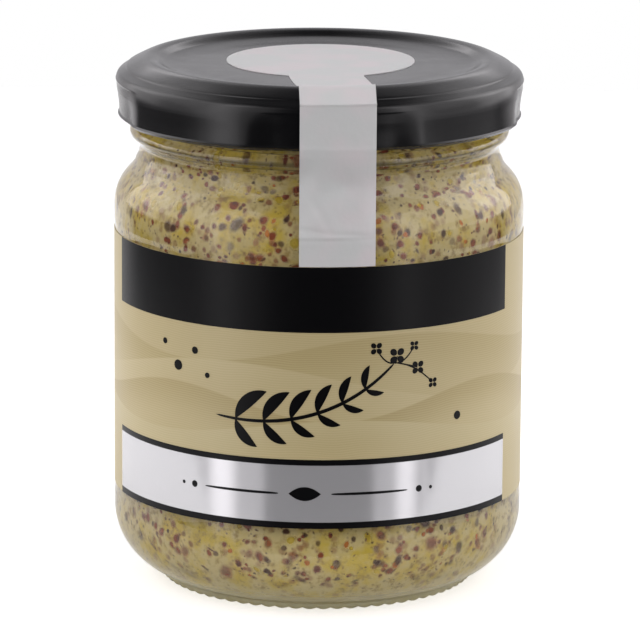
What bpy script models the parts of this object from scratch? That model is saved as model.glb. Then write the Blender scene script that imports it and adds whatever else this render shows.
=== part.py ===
"""A shut glass jar of whole-grain mustard: jar, filling, twist-off lid, wrap label and paper tamper seal.

Metres, +Z up. The jar stands on z = 0 with its axis on Z, and its front faces -Y. Every turned piece is
an outline in the X-Z plane, radius along X, which a Screw modifier carries round the axis.
"""

import math

import bmesh
import bpy
import numpy as np

MM = 0.001

# Driving dimensions of the 212 ml jar, which takes a 63 mm twist-off lid
BODY_R = 33.6 * MM  # glass above and below the label panel
LABEL_R = 33.65 * MM  # outer face of the wrap label
LID_R = 33.55 * MM
LID_TOP = 86.4 * MM  # crest of the lid's raised ring, the tallest point of the tinplate
GLASS_TOP = 85.6 * MM
GAP = 0.3 * MM  # clearance between pieces that touch in the real jar

# The glass
WALL = 2.7 * MM
FOOT_R = 25.93 * MM  # outside of the ring that the jar stands on
FOOT_INNER_R = 22.9 * MM
FOOT_ROUND = 0.5 * MM
PUNT = 0.9 * MM  # height of the hollow inside the foot ring
PUNT_CENTRE = 1.6 * MM
HEEL_ROUND = 11.0 * MM
HEEL_TOP = 11.8 * MM  # where the heel's round meets the straight wall
PANEL_DEPTH = 0.5 * MM  # the label panel is sunk this far
PANEL_BOTTOM, PANEL_TOP = 14.2 * MM, 59.6 * MM
SHOULDER_START = 62.3 * MM
SHOULDER_ROUND = 7.5 * MM
NECK_R = 29.4 * MM
BEAD_R = 31.0 * MM
BEAD_ROUND = 1.05 * MM
BEAD_Z = 74.4 * MM
FINISH_R = 29.3 * MM  # the plain cylinder under the lid
MOUTH_R = 26.6 * MM

# The inside of the glass
FLOOR = 3.8 * MM
FLOOR_CENTRE = 5.0 * MM
INNER_HEEL_ROUND = 8.3 * MM
INNER_SHOULDER_START = 61.6 * MM
INNER_SHOULDER_ROUND = 5.2 * MM
INNER_NECK_R = 26.8 * MM
FILL_TOP = 81.6 * MM  # level of the mustard

# The lid
TINPLATE = 0.4 * MM
PANEL_Z = 85.1 * MM  # the sunk middle of the lid
PANEL_R = 22.5 * MM
RING_R = 27.9 * MM
RING_SLOPE = 2.6 * MM  # from the sunk middle's edge out to where the ring's inner side turns up
RING_SLOPE_RISE = 0.3 * MM
RING_INNER_TURN = (-1.2 * MM, -0.25 * MM)  # out from the crest and up from it
RING_OUTER_TURN = (1.1 * MM, -0.15 * MM)
RING_OUTER_SIDE = (2.1 * MM, -0.6 * MM)
RING_FOOT = (2.9 * MM, -1.3 * MM)
LID_SHOULDER_ROUND = 2.0 * MM
LID_SHOULDER_DROP = 3.5 * MM  # from the crest down to where the skirt is straight
CURL_ROUND = 0.65 * MM
LID_BOTTOM = 76.7 * MM
DENTS = 4
DENT_TURN = 4.0  # degrees from the front to the middle of the first dent
DENT_HALF_ANGLE = 24.0
DENT_EDGE_ANGLE = 6.0
DENT_DEPTH = 0.9 * MM

# The paper
LABEL_BOTTOM, LABEL_TOP = 15.67 * MM, 58.35 * MM
LABEL_THICKNESS = 0.25 * MM
LABEL_SEAM_ANGLE = 3.0  # degrees left open at the back
SEAL_THICKNESS = 0.25 * MM
SEAL_R = 15.4 * MM
SEAL_CENTRE = (-0.1 * MM, 3.4 * MM)
STRIP_WIDTH = 12.1 * MM
STRIP_REACHES = (0, 15.4 * MM, 22.5 * MM, RING_R, 33.6 * MM)  # places in front of the axis, along the strip
STRIP_MIDDLES = (SEAL_CENTRE[0], 1.2 * MM, 2.45 * MM, 2.55 * MM, 2.75 * MM)  # its middle line's X at each
STRIP_START = 17.0 * MM
STRIP_LIFTS_OFF = 20.5 * MM  # where the strip leaves the sunk middle
STRIP_AT_SLOPE = (24.2 * MM, PANEL_Z + 0.75 * MM)
STRIP_RING_ROUND = 4.0 * MM
STRIP_CREASE_ROUND = 0.5 * MM
STRIP_CREASE_DROP = 2.15 * MM  # from the ring's crest down to the middle of the crease over the rim

TURN_STEPS = 60
LID_STEPS = 72


def arc(centre, radius, start, end, steps):
    """Points of a circular arc in the outline's plane. Angles are in degrees, and 0 points away from the axis."""
    angles = np.radians(np.linspace(start, end, steps + 1))
    return [(centre[0] + radius * math.cos(a), centre[1] + radius * math.sin(a)) for a in angles]


def shoulder(wall_r, start_z, upper_round, neck_r, inset=0.0):
    """The S-shaped shoulder, upwards: a round of one radius turns 45 degrees in, and one the other way turns back.

    The two rounds touch, so the second radius follows from how far the neck lies inside the wall.
    """
    both = (wall_r - neck_r) / (1 - math.cos(math.pi / 4))
    first_centre = (wall_r - upper_round, start_z)
    reach = both * math.cos(math.pi / 4)
    second_centre = (first_centre[0] + reach, start_z + reach)
    return (
        arc(first_centre, upper_round - inset, 0, 45, 4)
        + arc(second_centre, both - upper_round + inset, 225, 180, 4)[1:]
    )


def glass_outside():
    """The jar's outer outline, from the middle of its underside up to the finish."""
    heel_centre = (BODY_R - HEEL_ROUND, HEEL_TOP)
    heel_start = -math.degrees(math.acos((FOOT_R - heel_centre[0]) / HEEL_ROUND))
    panel_r = BODY_R - PANEL_DEPTH
    return (
        [(0, PUNT_CENTRE), (0.8 * FOOT_INNER_R, PUNT), (FOOT_INNER_R - PUNT, PUNT), (FOOT_INNER_R, 0)]
        + arc((FOOT_R - FOOT_ROUND, FOOT_ROUND), FOOT_ROUND, -90, 0, 2)
        + arc(heel_centre, HEEL_ROUND, heel_start, 0, 7)
        + [(BODY_R, PANEL_BOTTOM - PANEL_DEPTH), (panel_r, PANEL_BOTTOM)]
        + [(panel_r, PANEL_TOP), (BODY_R, PANEL_TOP + PANEL_DEPTH)]
        + shoulder(BODY_R, SHOULDER_START, SHOULDER_ROUND, NECK_R)
        + arc((BEAD_R - BEAD_ROUND, BEAD_Z), BEAD_ROUND, -75, 75, 4)
        + [(FINISH_R, BEAD_Z + 1.5 * BEAD_ROUND)]
    )


def glass_inside(inset=0.0):
    """The hollow's outline, from the middle of its floor up to the mouth, or what lies `inset` inside it."""
    wall_r = BODY_R - WALL
    heel_centre = (wall_r - INNER_HEEL_ROUND, FLOOR + INNER_HEEL_ROUND)
    return (
        [(0, FLOOR_CENTRE + inset)]
        + arc(heel_centre, INNER_HEEL_ROUND - inset, -90, 0, 5)
        + shoulder(wall_r, INNER_SHOULDER_START, INNER_SHOULDER_ROUND, INNER_NECK_R, inset)
        + [(MOUTH_R - inset, BEAD_Z)]
    )


def lid_outside():
    """The lid's outer outline, from the middle of its top out to the skirt."""
    ring = [RING_INNER_TURN, (0, 0), RING_OUTER_TURN, RING_OUTER_SIDE, RING_FOOT]
    return (
        [(0, PANEL_Z), (PANEL_R, PANEL_Z), (PANEL_R + RING_SLOPE, PANEL_Z + RING_SLOPE_RISE)]
        + [(RING_R + out, LID_TOP + up) for out, up in ring]
        + arc((LID_R - LID_SHOULDER_ROUND, LID_TOP - LID_SHOULDER_DROP), LID_SHOULDER_ROUND, 78, 0, 4)
    )


def lid_inside():
    """The lid's inner outline, from the skirt back to the middle of the top."""
    outside = np.array(lid_outside())
    along = np.gradient(outside, axis=0)
    inward = np.column_stack([along[:, 1], -along[:, 0]])
    inward[0] = (0, -1)
    inward /= np.linalg.norm(inward, axis=1)[:, None]
    return [tuple(point) for point in (outside + TINPLATE * inward)[::-1]]


def turned(name, outline, steps, material):
    """A solid of revolution from an outline that runs down its outer side, from axis to axis."""
    mesh = bpy.data.meshes.new(name)
    edges = [(i, i + 1) for i in range(len(outline) - 1)]
    mesh.from_pydata([(r, 0, z) for r, z in outline], edges, [])
    piece = bpy.data.objects.new(name, mesh)
    screw = piece.modifiers.new("Turn", "SCREW")
    screw.steps = steps
    screw.render_steps = steps
    screw.use_merge_vertices = True
    screw.merge_threshold = 0.00001
    screw.use_smooth_shade = True
    return finished(piece, material)


def finished(piece, material):
    """Puts the piece in the jar's collection with its material."""
    collection.objects.link(piece)
    piece.data.materials.append(material)
    return piece


def applied(piece):
    """Replaces the piece's mesh with the one that its modifiers make."""
    graph = bpy.context.evaluated_depsgraph_get()
    mesh = bpy.data.meshes.new_from_object(piece.evaluated_get(graph))
    piece.modifiers.clear()
    piece.data = mesh
    return mesh


def finish_material(name, colour, roughness, metallic=0.0, transmission=0.0):
    material = bpy.data.materials.new(name)
    material.use_nodes = True
    shader = material.node_tree.nodes["Principled BSDF"]
    shader.inputs["Base Color"].default_value = (*colour, 1)
    shader.inputs["Roughness"].default_value = roughness
    shader.inputs["Metallic"].default_value = metallic
    shader.inputs["Transmission Weight"].default_value = transmission
    return material


def glass_jar():
    """The jar: a rounded foot ring and heel, a sunk label panel, an S-shaped shoulder, a bead and the rim."""
    rim_round = (FINISH_R - MOUTH_R) / 2
    rim = arc((MOUTH_R + rim_round, GLASS_TOP - rim_round), rim_round, 180, 0, 6)
    outline = glass_inside() + rim + glass_outside()[::-1]
    turned("glass_jar", outline, TURN_STEPS, finish_material("glass", (0.93, 0.96, 0.93), 0.03, 0, 1))


def mustard():
    """The filling, solid up to its level inside the neck."""
    side = glass_inside(GAP) + [(MOUTH_R - GAP, FILL_TOP)]
    outline = [(0, FILL_TOP)] + side[::-1]
    turned("mustard", outline, TURN_STEPS, finish_material("mustard", (0.54, 0.43, 0.18), 0.6))


def dent_depth(points):
    """How far each point of the skirt is pressed in: four flats that deepen towards the curl."""
    azimuth = np.degrees(np.arctan2(points[:, 0], -points[:, 1])) - DENT_TURN
    pitch = 360 / DENTS
    off_middle = np.abs((azimuth + pitch / 2) % pitch - pitch / 2)
    across = np.clip((DENT_HALF_ANGLE - off_middle) / DENT_EDGE_ANGLE, 0, 1)
    skirt_top = LID_TOP - LID_SHOULDER_DROP
    down = np.clip((skirt_top - points[:, 2]) / (skirt_top - LID_BOTTOM), 0, 1)
    return DENT_DEPTH * across * np.sqrt(down)


def lid():
    """The tinplate lid: a sunk middle, a raised ring, a rounded shoulder, and a skirt rolled in at its foot."""
    curl = arc((LID_R - CURL_ROUND, LID_BOTTOM + CURL_ROUND), CURL_ROUND, 0, -200, 6)
    outline = lid_outside() + curl + lid_inside()
    piece = turned("lid", outline, LID_STEPS, finish_material("black_lacquer", (0.008, 0.008, 0.009), 0.3))
    mesh = applied(piece)
    points = np.empty(len(mesh.vertices) * 3)
    mesh.vertices.foreach_get("co", points)
    points = points.reshape(-1, 3)
    radius = np.maximum(np.hypot(points[:, 0], points[:, 1]), MM)
    points[:, :2] *= (1 - dent_depth(points) / radius)[:, None]
    mesh.vertices.foreach_set("co", points.ravel())
    mesh.shade_smooth()
    mesh.set_sharp_from_angle(angle=math.radians(40))


def label():
    """The wrap label: one band of paper, bent round the sunk panel, with its two ends nearly meeting at the back."""
    mesh = bpy.data.meshes.new("label")
    mesh.from_pydata([(LABEL_R, 0, LABEL_TOP), (LABEL_R, 0, LABEL_BOTTOM)], [(0, 1)], [])
    piece = bpy.data.objects.new("label", mesh)
    piece.rotation_euler.z = math.radians(90 + LABEL_SEAM_ANGLE / 2)
    screw = piece.modifiers.new("Wrap", "SCREW")
    screw.angle = math.radians(360 - LABEL_SEAM_ANGLE)
    screw.steps = TURN_STEPS
    screw.render_steps = TURN_STEPS
    sheet = piece.modifiers.new("Thickness", "SOLIDIFY")
    sheet.thickness = LABEL_THICKNESS
    sheet.offset = -1
    finished(piece, finish_material("label_paper", (0.50, 0.42, 0.22), 0.45))


def strip_path():
    """Reach and height of the strip's outer face: off the sunk middle, over the ring, creased over the rim, down."""
    skirt_r = LID_R + GAP
    flat = [(STRIP_START, PANEL_Z + GAP), (STRIP_LIFTS_OFF, PANEL_Z + GAP), STRIP_AT_SLOPE]
    over_ring = arc((RING_R, LID_TOP + GAP - STRIP_RING_ROUND), STRIP_RING_ROUND, 105, 62, 4)
    crease_centre = (skirt_r - STRIP_CREASE_ROUND, LID_TOP - STRIP_CREASE_DROP)
    over_rim = arc(crease_centre, STRIP_CREASE_ROUND, 60, 0, 4)
    hanging = [(skirt_r, z) for z in np.linspace(LID_BOTTOM + LID_SHOULDER_DROP, LABEL_TOP + GAP, 6)]
    return flat + over_ring + over_rim + hanging


def seal_edges(reach):
    """The left and right edges of the seal's outline, `reach` in front of the jar's axis.

    They are the outer ones of the head's circle and of the strip, whose middle line leans to the right.
    """
    half_head = math.sqrt(max(SEAL_R**2 - (reach + SEAL_CENTRE[1]) ** 2, 0))
    half_strip = STRIP_WIDTH / 2 if reach > 0 else 0
    middle = np.interp(reach, STRIP_REACHES, STRIP_MIDDLES)
    left = min(SEAL_CENTRE[0] - half_head, middle - half_strip)
    right = max(SEAL_CENTRE[0] + half_head, middle + half_strip)
    return left, right


def seal():
    """The tamper seal: a round head on the lid with one tail that hangs over the rim down to the label.

    A grid is laid out in rows from the far side of the head to the tail's end. A row of the head is straight,
    and one of the tail follows the lid's round, at the radius and height that its path gives.
    """
    head_rows = 12
    across = 8
    head_y = SEAL_CENTRE[1] + SEAL_R * np.cos(np.linspace(0.12, math.pi, head_rows))
    path = strip_path()
    grid = bmesh.new()
    bmesh.ops.create_grid(grid, x_segments=across, y_segments=head_rows + len(path) - 1, size=1)
    for index, vertex in enumerate(grid.verts):
        row, column = divmod(index, across + 1)
        on_head = row < head_rows
        reach, z = (-head_y[row], PANEL_Z + GAP) if on_head else path[row - head_rows]
        left, right = seal_edges(reach)
        x = left + (right - left) * column / across
        y = -reach if on_head else -math.sqrt(reach**2 - x**2)
        vertex.co = (x, y, z)
    bmesh.ops.recalc_face_normals(grid, faces=grid.faces)
    mesh = bpy.data.meshes.new("seal")
    grid.to_mesh(mesh)
    grid.free()
    piece = bpy.data.objects.new("seal", mesh)
    sheet = piece.modifiers.new("Thickness", "SOLIDIFY")
    sheet.thickness = SEAL_THICKNESS
    sheet.offset = 1
    finished(piece, finish_material("seal_paper", (0.62, 0.62, 0.66), 0.5))


for old in list(bpy.data.objects):
    bpy.data.objects.remove(old)
collection = bpy.data.collections.new("mustard_jar")
bpy.context.scene.collection.children.link(collection)

glass_jar()
mustard()
lid()
label()
seal()
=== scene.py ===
"""The looks of a shut glass jar of whole-grain mustard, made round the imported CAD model.

The jar stands on z = 0 with its axis on Z, and its front faces -Y. Lengths are metres. An azimuth is an
angle round the axis, 0 at the front and growing towards +X.
"""

import math

import bmesh
import bpy
import numpy as np
from mathutils import Matrix


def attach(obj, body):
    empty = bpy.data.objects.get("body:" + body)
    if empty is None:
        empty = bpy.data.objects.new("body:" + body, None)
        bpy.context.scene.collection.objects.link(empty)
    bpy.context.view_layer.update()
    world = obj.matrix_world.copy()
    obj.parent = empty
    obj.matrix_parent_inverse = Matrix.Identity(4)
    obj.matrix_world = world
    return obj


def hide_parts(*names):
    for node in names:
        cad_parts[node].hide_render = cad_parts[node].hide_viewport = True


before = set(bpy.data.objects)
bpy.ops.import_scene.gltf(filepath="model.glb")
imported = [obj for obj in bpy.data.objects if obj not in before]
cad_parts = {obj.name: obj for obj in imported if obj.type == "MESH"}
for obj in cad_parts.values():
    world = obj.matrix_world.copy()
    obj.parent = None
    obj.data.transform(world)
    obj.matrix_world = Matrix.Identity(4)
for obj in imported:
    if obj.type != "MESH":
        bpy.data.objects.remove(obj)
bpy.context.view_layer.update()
MM = 0.001

# The view
# A long lens from the front, a little above the lid, turned a third of a degree as the photograph is.
CAMERA_PLACE = (0.00028, -0.8396, 0.2320)
CAMERA_DOWN, CAMERA_ROLL = math.radians(12.731), math.radians(0.364)
LENS_MM, SENSOR_MM = 293.6, 36
camera = bpy.data.objects.new("camera", bpy.data.cameras.new("camera"))
bpy.context.scene.collection.objects.link(camera)
camera.data.lens = LENS_MM
camera.data.sensor_width = SENSOR_MM
turn = Matrix.Rotation(math.pi / 2 - CAMERA_DOWN, 4, "X") @ Matrix.Rotation(CAMERA_ROLL, 4, "Z")
camera.matrix_world = Matrix.Translation(CAMERA_PLACE) @ turn
bpy.context.scene.camera = camera

# The glass jar
# Pressed and blown soda-lime glass with a knurled foot ring, a rounded heel, an S-shaped shoulder and a
# bead under the lid. It is one turned surface, outside and inside, and the knurls are worked into its foot.
BODY_R = 33.6 * MM
WALL = 2.7 * MM
FOOT_R, FOOT_INNER_R = 25.93 * MM, 22.9 * MM
FOOT_ROUND = 0.7 * MM
PUNT, PUNT_CENTRE = 0.9 * MM, 1.6 * MM
HEEL_ROUND, HEEL_TOP = 11.0 * MM, 11.8 * MM
PANEL_R, PANEL_STEP = 33.5 * MM, 0.4 * MM
PANEL_BOTTOM, PANEL_TOP = 14.6 * MM, 59.2 * MM
SHOULDER_START, SHOULDER_ROUND = 62.3 * MM, 7.5 * MM
NECK_R = 29.4 * MM
BEAD_R, BEAD_ROUND, BEAD_Z = 31.0 * MM, 1.05 * MM, 74.4 * MM
FINISH_R, MOUTH_R, GLASS_TOP = 29.3 * MM, 26.6 * MM, 85.6 * MM
FLOOR, FLOOR_CENTRE = 3.8 * MM, 5.0 * MM
INNER_HEEL_ROUND = 8.3 * MM
INNER_SHOULDER_START, INNER_SHOULDER_ROUND, INNER_NECK_R = 61.6 * MM, 5.2 * MM, 26.8 * MM
KNURLS, KNURL_DEPTH, KNURL_TOP = 70, 0.28 * MM, 1.6 * MM
MOULD_LINES = (72.3 * MM, 69.9 * MM)
MOULD_LINE_HEIGHT, MOULD_LINE_WIDTH = 0.12 * MM, 0.22 * MM
CLEAR, THICK, THICK_HEIGHTS = (0.955, 0.975, 0.955), (0.87, 0.90, 0.77), (5.0 * MM, 1.5 * MM)
FROST, FROST_HEIGHTS = 0.45, (4.2 * MM, 2.4 * MM)
SHADOW_TINT = (0.93, 0.95, 0.93, 1)
MERGED = 1e-8


def arc(centre, radius, start, end, steps):
    """Points of a circular arc: centre plus radius times the cosine and sine of angles spread evenly."""
    angles = np.radians(np.linspace(start, end, steps + 1))
    return np.column_stack([centre[0] + radius * np.cos(angles), centre[1] + radius * np.sin(angles)])


def shoulder(wall_r, start_z, upper_round, neck_r, inset=0.0):
    """The S of the shoulder, upwards: one round turns 45 degrees in, and one that touches it turns back.

    Together the two radii are the step from wall to neck, divided by 1 less the cosine of 45 degrees.
    """
    both = (wall_r - neck_r) / (1 - math.cos(math.pi / 4))
    reach = both * math.cos(math.pi / 4)
    first = (wall_r - upper_round, start_z)
    second = (first[0] + reach, start_z + reach)
    turned_in = arc(first, upper_round - inset, 0, 45, 12)
    return np.vstack([turned_in, arc(second, both - upper_round + inset, 225, 180, 12)[1:]])


def glass_outside():
    """The outer outline, from the middle of the underside up to the finish under the lid."""
    heel_centre = (BODY_R - HEEL_ROUND, HEEL_TOP)
    heel_start = -math.degrees(math.acos((FOOT_R - heel_centre[0]) / HEEL_ROUND))
    return np.vstack(
        [
            [(0, PUNT_CENTRE), (0.4 * FOOT_INNER_R, 0.8 * PUNT_CENTRE), (0.8 * FOOT_INNER_R, PUNT)],
            arc((FOOT_INNER_R + FOOT_ROUND, FOOT_ROUND), FOOT_ROUND, 180, 270, 5),
            arc((FOOT_R - FOOT_ROUND, FOOT_ROUND), FOOT_ROUND, -90, 0, 6),
            arc(heel_centre, HEEL_ROUND, heel_start, 0, 22),
            [(BODY_R, PANEL_BOTTOM - PANEL_STEP), (PANEL_R, PANEL_BOTTOM), (PANEL_R, PANEL_TOP)],
            [(BODY_R, PANEL_TOP + PANEL_STEP), (BODY_R, 0.5 * (PANEL_TOP + SHOULDER_START))],
            shoulder(BODY_R, SHOULDER_START, SHOULDER_ROUND, NECK_R),
            [(NECK_R + 0.15 * MM, BEAD_Z - 1.8 * BEAD_ROUND)],
            [(NECK_R + 0.5 * MM, BEAD_Z - 1.35 * BEAD_ROUND)],
            arc((BEAD_R - BEAD_ROUND, BEAD_Z), BEAD_ROUND, -60, 75, 10),
            [(FINISH_R, BEAD_Z + 1.5 * BEAD_ROUND)],
        ]
    )


def glass_inside(inset=0.0):
    """The hollow's outline, from the middle of its floor up to the mouth, or a line that far inside it."""
    wall_r = BODY_R - WALL
    heel_centre = (wall_r - INNER_HEEL_ROUND, FLOOR + INNER_HEEL_ROUND)
    return np.vstack(
        [
            [(0, FLOOR_CENTRE + inset), (0.5 * heel_centre[0], 0.5 * (FLOOR + FLOOR_CENTRE) + inset)],
            arc(heel_centre, INNER_HEEL_ROUND - inset, -90, 0, 14),
            shoulder(wall_r, INNER_SHOULDER_START, INNER_SHOULDER_ROUND, INNER_NECK_R, inset),
            [(MOUTH_R - inset, BEAD_Z)],
        ]
    )


def refined(outline, spacing):
    """The outline with points added along its straight stretches, so that none is longer than the spacing."""
    lengths = np.linalg.norm(np.diff(outline, axis=0), axis=1)
    counts = np.maximum(np.ceil(lengths / spacing).astype(int), 1)
    start = np.repeat(np.arange(len(lengths)), counts)
    share = np.concatenate([np.arange(count) / count for count in counts])[:, None]
    return np.vstack([outline[start] * (1 - share) + outline[start + 1] * share, outline[-1:]])


def round_grid(outline, azimuths):
    """Rows of points: a radius times the sine and minus the cosine of each azimuth, and its height."""
    radius, height = outline[:, :1], outline[:, 1:]
    flat = np.ones_like(azimuths)
    return np.stack([radius * np.sin(azimuths), -radius * np.cos(azimuths), height * flat], axis=-1)


def all_round(count):
    """That many azimuths spread evenly round a full turn."""
    return np.linspace(0, 2 * np.pi, count, endpoint=False)


def new_piece(name, points, wraps=False, paper=None, values=None):
    """An object of quads over a grid of points, or over many grids of one size.

    Where they wrap, the last column joins the first, and the faces are turned outwards. Points that fall
    together, as at a pole, are merged. `paper` holds each point's place on a flat sheet, and `values` holds
    named numbers for every point.
    """
    rows, columns = points.shape[-3:-1]
    index = np.arange(points.size // 3).reshape(-1, rows, columns)
    right = np.roll(index, -1, axis=2)
    if not wraps:
        index, right = index[..., :-1], right[..., :-1]
    quads = np.stack([index[:, :-1], index[:, 1:], right[:, 1:], right[:, :-1]], axis=-1).reshape(-1, 4)
    mesh = bpy.data.meshes.new(name)
    mesh.from_pydata(points.reshape(-1, 3).tolist(), [], quads.tolist())
    if paper is not None:
        flat = mesh.attributes.new("paper", "FLOAT_VECTOR", "POINT")
        flat.data.foreach_set("vector", paper.reshape(-1).astype(np.float32))
    for key, value in (values or {}).items():
        each = np.broadcast_to(value, points.shape[:-1]).reshape(-1).astype(np.float32)
        mesh.attributes.new(key, "FLOAT", "POINT").data.foreach_set("value", each)
    shape = bmesh.new()
    shape.from_mesh(mesh)
    bmesh.ops.remove_doubles(shape, verts=shape.verts, dist=MERGED)
    if wraps:
        bmesh.ops.recalc_face_normals(shape, faces=shape.faces)
    shape.to_mesh(mesh)
    shape.free()
    mesh.shade_smooth()
    piece = bpy.data.objects.new(name, mesh)
    bpy.context.scene.collection.objects.link(piece)
    return piece


def knurled(points):
    """Presses flutes into the foot ring: a depth of 1 less the size of a sine, fading up the ring."""
    radius = np.hypot(points[..., 0], points[..., 1])
    azimuth = np.arctan2(points[..., 0], -points[..., 1])
    flute = 1 - np.abs(np.sin(0.5 * KNURLS * azimuth))
    low = np.clip(1 - points[..., 2] / KNURL_TOP, 0, 1) * (radius > FOOT_INNER_R)
    points[..., 2] += KNURL_DEPTH * flute * low
    side = np.clip((radius - FOOT_R + FOOT_ROUND) / FOOT_ROUND, 0, 1) * (points[..., 2] < KNURL_TOP)
    points[..., :2] *= (1 - 0.5 * KNURL_DEPTH * flute * side * low / np.maximum(radius, MM))[..., None]
    return points


def add_node(tree, kind, inputs=None, **settings):
    """Adds one shader node. Each input is a plain value, or another node's output, which is then linked."""
    made = tree.nodes.new(kind)
    for name, value in settings.items():
        setattr(made, name, value)
    for name, value in (inputs or {}).items():
        if isinstance(value, bpy.types.NodeSocket):
            tree.links.new(value, made.inputs[name])
        else:
            made.inputs[name].default_value = value
    return made


def new_material(name, colour, roughness, **values):
    """A material with one Principled BSDF, its node tree, and that shader.

    Underscores in a value's name stand for spaces.
    """
    material = bpy.data.materials.new(name)
    material.use_nodes = True
    shader = material.node_tree.nodes["Principled BSDF"]
    shader.inputs["Base Color"].default_value = (*colour, 1)
    shader.inputs["Roughness"].default_value = roughness
    for key, value in values.items():
        shader.inputs[key.replace("_", " ")].default_value = value
    return material, material.node_tree, shader


def mixed_colour(tree, share, first, second):
    """A colour between the first and the second, by a share from 0 to 1. Each is a colour or an output."""
    pair = [each if isinstance(each, bpy.types.NodeSocket) else (*each, 1) for each in (first, second)]
    made = add_node(tree, "ShaderNodeMix", {0: share, 6: pair[0], 7: pair[1]}, data_type="RGBA")
    return made.outputs[2]


def calculated(tree, operation, *values):
    """One step of arithmetic, by the math node's name for it, on outputs and plain numbers."""
    return add_node(tree, "ShaderNodeMath", dict(enumerate(values)), operation=operation).outputs[0]


def ramped(tree, value, low, high):
    """The value stretched smoothly so that low becomes 0 and high becomes 1, and held there beyond them."""
    inputs = {"Value": value, "From Min": low, "From Max": high}
    return add_node(tree, "ShaderNodeMapRange", inputs, interpolation_type="SMOOTHSTEP").outputs["Result"]


def object_place(tree):
    """The shaded point's place in its object's own coordinates."""
    return add_node(tree, "ShaderNodeTexCoord").outputs["Object"]


def axis_of(tree, vector, axis):
    """One of a vector's three numbers, by its letter."""
    return add_node(tree, "ShaderNodeSeparateXYZ", {"Vector": vector}).outputs[axis]


def noise(tree, place, scale, detail, roughness=0.5):
    """A soft noise from 0 to 1, with about as many lumps in a metre as its scale."""
    inputs = {"Vector": place, "Scale": scale, "Detail": detail, "Roughness": roughness}
    return add_node(tree, "ShaderNodeTexNoise", inputs).outputs["Fac"]


def relief_group():
    """A node group for small unevenness: a noise in object space, as a value from 0 to 1 and as a normal."""
    group = bpy.data.node_groups.new("small_relief", "ShaderNodeTree")
    for name in ("Scale", "Detail", "Height"):
        group.interface.new_socket(name, in_out="INPUT", socket_type="NodeSocketFloat")
    group.interface.new_socket("Value", in_out="OUTPUT", socket_type="NodeSocketFloat")
    group.interface.new_socket("Normal", in_out="OUTPUT", socket_type="NodeSocketVector")
    given = group.nodes.new("NodeGroupInput").outputs
    value = noise(group, object_place(group), given["Scale"], given["Detail"], 0.55)
    bump = add_node(group, "ShaderNodeBump", {"Height": value, "Distance": given["Height"], "Strength": 1.0})
    result = group.nodes.new("NodeGroupOutput")
    group.links.new(value, result.inputs["Value"])
    group.links.new(bump.outputs["Normal"], result.inputs["Normal"])
    return group


small_relief = relief_group()


def add_relief(tree, shader, scale, detail, height, rough=None):
    """Gives the shader the small relief, its height in metres, and may let the roughness follow it."""
    inputs = {"Scale": scale, "Detail": detail, "Height": height}
    relief = add_node(tree, "ShaderNodeGroup", inputs, node_tree=small_relief).outputs
    tree.links.new(relief["Normal"], shader.inputs["Normal"])
    if rough:
        inputs = {"Value": relief["Value"], "To Min": rough[0], "To Max": rough[1]}
        follows = add_node(tree, "ShaderNodeMapRange", inputs).outputs["Result"]
        tree.links.new(follows, shader.inputs["Roughness"])


def on_jar(piece, slot, *nodes):
    """The piece rides on the jar's one body and stands for the CAD nodes, which are hidden. The slot is not
    used.
    """
    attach(piece, "root")
    if nodes:
        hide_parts(*nodes)


glass, tree, shader = new_material("clear_glass", CLEAR, 0.0, IOR=1.5, Transmission_Weight=1.0)
height = axis_of(tree, object_place(tree), "Z")
tint = mixed_colour(tree, ramped(tree, height, *THICK_HEIGHTS), CLEAR, THICK)
tree.links.new(tint, shader.inputs["Base Color"])
frost = calculated(tree, "MULTIPLY", ramped(tree, height, *FROST_HEIGHTS), FROST)
tree.links.new(frost, shader.inputs["Roughness"])
add_relief(tree, shader, 60, 2, 0.02 * MM)
shadow_ray = add_node(tree, "ShaderNodeLightPath").outputs["Is Shadow Ray"]
see_through = add_node(tree, "ShaderNodeBsdfTransparent", {"Color": SHADOW_TINT}).outputs[0]
either = {0: shadow_ray, 1: shader.outputs[0], 2: see_through}
surface = add_node(tree, "ShaderNodeMixShader", either).outputs[0]
tree.links.new(surface, tree.nodes["Material Output"].inputs["Surface"])

rim_round = (FINISH_R - MOUTH_R) / 2
rim = arc((MOUTH_R + rim_round, GLASS_TOP - rim_round), rim_round, 0, 180, 12)
outside = refined(glass_outside(), 1.0 * MM)
for line in MOULD_LINES:
    near = np.exp(-(((outside[:, 1] - line) / MOULD_LINE_WIDTH) ** 2)) * (outside[:, 0] > NECK_R - MM)
    outside[:, 0] += MOULD_LINE_HEIGHT * near
inside = refined(glass_inside(), 3.0 * MM)
jar_points = knurled(round_grid(np.vstack([outside, rim, inside[::-1]]), all_round(6 * KNURLS)))
jar = new_piece("jar_glass", jar_points, wraps=True)
jar.data.materials.append(glass)
on_jar(jar, "clear_glass", "glass_jar")

# The mustard
# A creamy yellow paste that fills the jar. Its surface reaches 0.1 mm into the wall, so that no air shows
# between it and the glass, and its colour wanders between cream, yellow and ochre.
INTO_WALL = 0.1 * MM
FILL_TOP = 81.6 * MM
CREAM, YELLOW, OCHRE = (0.605, 0.50, 0.245), (0.59, 0.44, 0.072), (0.35, 0.24, 0.080)
# Two noises, by scale, detail and roughness, and the values between which each one sets in.
CLOUDS, CLOUD_SETS_IN = (190, 3, 0.62), (0.42, 0.66)
STREAKS, STREAK_SETS_IN = (680, 3, 0.65), (0.48, 0.74)
BEAD_SHADE, BEAD_SHADE_COVER = (0.12, 0.105, 0.06), 0.6
BEAD_SHADE_Z, BEAD_SHADE_REACH = 74.0 * MM, (0.34 * MM, 0.10 * MM)
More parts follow.
